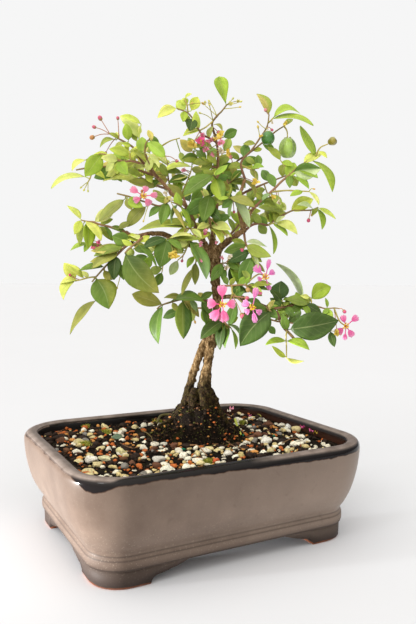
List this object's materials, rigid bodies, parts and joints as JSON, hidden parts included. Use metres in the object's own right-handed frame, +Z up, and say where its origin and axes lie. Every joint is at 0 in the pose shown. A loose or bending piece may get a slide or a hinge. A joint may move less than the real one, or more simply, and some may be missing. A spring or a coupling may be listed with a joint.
{
  "type": "barbados cherry bonsai",
  "caption": "Small flowering and fruiting Barbados cherry tree with two joined trunks, grown as a bonsai in a glazed rectangular pot on four feet.",
  "frame": {"origin": "on the ground under the middle of the bounding box of the whole, crown included", "axes": "+Z up, long side of the pot along X, front of the pot towards -Y"},
  "size_m": [0.2208, 0.1644, 0.3126],
  "materials": {
    "glaze": "satin brown-grey glaze, glossy dark band under the rim, bare clay under the feet",
    "soil": "matt, dark bonsai grit with pale pebbles and moss",
    "screen": "matt black mesh",
    "bark": "rough brown bark with tan ridges",
    "leaves": "satin green leaves on brown-green twigs, lime at the tips",
    "leaves_inner": "satin dark green leaves on brown-green twigs",
    "petals": "soft pink",
    "stamens": "yellow",
    "fruit_dark": "glossy dark green skin",
    "fruit_green": "glossy light green skin",
    "fruit_spent": "dull yellow-brown"
  },
  "bodies": {
    "root": {"bloom_front_petals": "petals", "bloom_front_stamens": "stamens", "bloom_left_petals": "petals", "bloom_left_stamens": "stamens", "bloom_right_petals": "petals", "bloom_right_stamens": "stamens", "bloom_second_petals": "petals", "bloom_second_stamens": "stamens", "bloom_upper_petals": "petals", "bloom_upper_stamens": "stamens", "drain_screen_left": "screen", "drain_screen_right": "screen", "fruit_dark": "fruit_dark", "fruit_green": "fruit_green", "fruit_spent": "fruit_spent", "fruit_young": "fruit_green", "pot": "glaze", "soil": "soil", "spray_back_bough": "leaves_inner", "spray_back_heart": "leaves_inner", "spray_back_high_left": "leaves_inner", "spray_back_left": "leaves_inner", "spray_back_low_left": "leaves_inner", "spray_back_low_right": "leaves_inner", "spray_back_right": "leaves_inner", "spray_back_top": "leaves_inner", "spray_centre_hanging": "leaves", "spray_heart_low": "leaves", "spray_heart_right": "leaves", "spray_heart_top": "leaves", "spray_heart_upper": "leaves", "spray_high_left": "leaves", "spray_left_arm": "leaves", "spray_left_crest": "leaves", "spray_left_end": "leaves", "spray_left_fall": "leaves", "spray_left_fork": "leaves", "spray_left_hanging": "leaves", "spray_left_inner": "leaves", "spray_left_low": "leaves", "spray_left_middle": "leaves", "spray_left_second": "leaves", "spray_left_shelf": "leaves", "spray_low_centre": "leaves", "spray_low_left": "leaves", "spray_of_bloom": "leaves", "spray_right_arm": "leaves", "spray_right_bough": "leaves", "spray_right_crest": "leaves", "spray_right_crown": "leaves", "spray_right_front": "leaves", "spray_right_hanging": "leaves", "spray_right_low": "leaves", "spray_right_shoulder": "leaves", "spray_top": "leaves", "spray_top_inner": "leaves", "spray_top_left": "leaves", "spray_trunk_side": "leaves", "trunk": "bark"}
  },
  "joints": []
}
